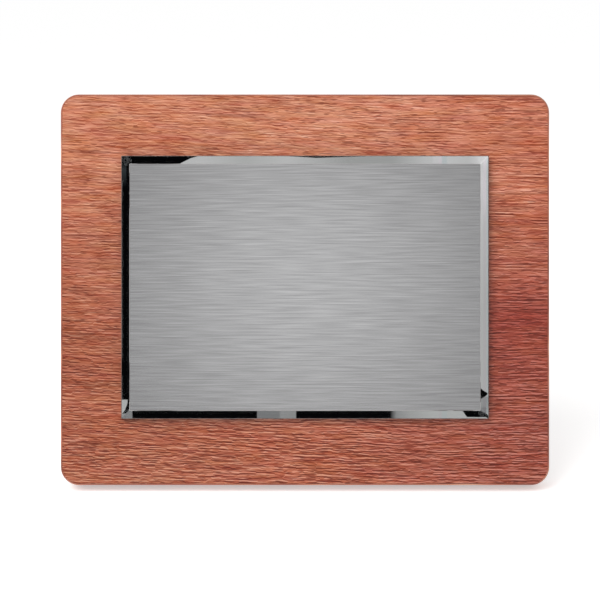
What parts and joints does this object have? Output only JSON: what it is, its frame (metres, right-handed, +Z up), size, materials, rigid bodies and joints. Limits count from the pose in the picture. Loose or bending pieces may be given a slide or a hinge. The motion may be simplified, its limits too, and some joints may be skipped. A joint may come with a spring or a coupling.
{
  "type": "award plaque",
  "caption": "Landscape veneered wooden award plaque with a bevelled mirror, a blank brushed plate, a keyhole hanger and a fold-out easel strut.",
  "frame": {"origin": "bottom centre of the object's box, on the desk, with the plaque leaning back on its open strut", "axes": "+Z up, +X to the viewer's right along the board's long side, front facing -Y and leaning back by 15 degrees"},
  "size_m": [0.254, 0.0834, 0.2002],
  "materials": {
    "mahogany_veneer": "satin lacquer, grain left to right",
    "edge_band": "satin lacquer",
    "back_veneer": "open-pored, thin lacquer",
    "fibreboard": "raw MDF",
    "stained_wood": "stained, satin lacquer",
    "mirror": "clear float glass, silvered behind, ground and polished bevel",
    "backing_film": "matt safety film",
    "foam_tape": "double-sided foam tape",
    "adhesive_sheet": "transfer adhesive",
    "brushed_aluminium": "fine brushing left to right, clear lacquer",
    "zinc_plated_steel": "bright zinc plating",
    "rubber": "moulded, matt black"
  },
  "bodies": {
    "plaque": {"board_core": "fibreboard", "front_veneer": "mahogany_veneer", "back_veneer": "back_veneer", "edge_band": "edge_band", "mirror_tape_top": "foam_tape", "mirror_tape_bottom": "foam_tape", "mirror_tape_left": "foam_tape", "mirror_tape_right": "foam_tape", "mirror_backing_film": "backing_film", "mirror_glass": "mirror", "plate_adhesive": "adhesive_sheet", "brushed_plate": "brushed_aluminium", "keyhole_hanger": "zinc_plated_steel", "hanger_screw_left": "zinc_plated_steel", "hanger_screw_right": "zinc_plated_steel", "hinge_board_leaf": "zinc_plated_steel", "hinge_pin": "zinc_plated_steel", "hinge_screw_left": "zinc_plated_steel", "hinge_screw_right": "zinc_plated_steel", "hinge_screw_top": "zinc_plated_steel", "wall_bumper_left": "rubber", "wall_bumper_right": "rubber"},
    "strut": {"strut_leg": "stained_wood", "foot_pad_left": "rubber", "foot_pad_right": "rubber", "hinge_leg_leaf": "zinc_plated_steel", "leg_rivet_left": "zinc_plated_steel", "leg_rivet_right": "zinc_plated_steel"}
  },
  "joints": [
    {"name": "strut_hinge", "type": "hinge", "parent": "plaque", "child": "strut", "pos_m": [0, 0.01306, 0.13637], "axis": [1, 0, 0], "range_deg": [-25, 0]}
  ]
}
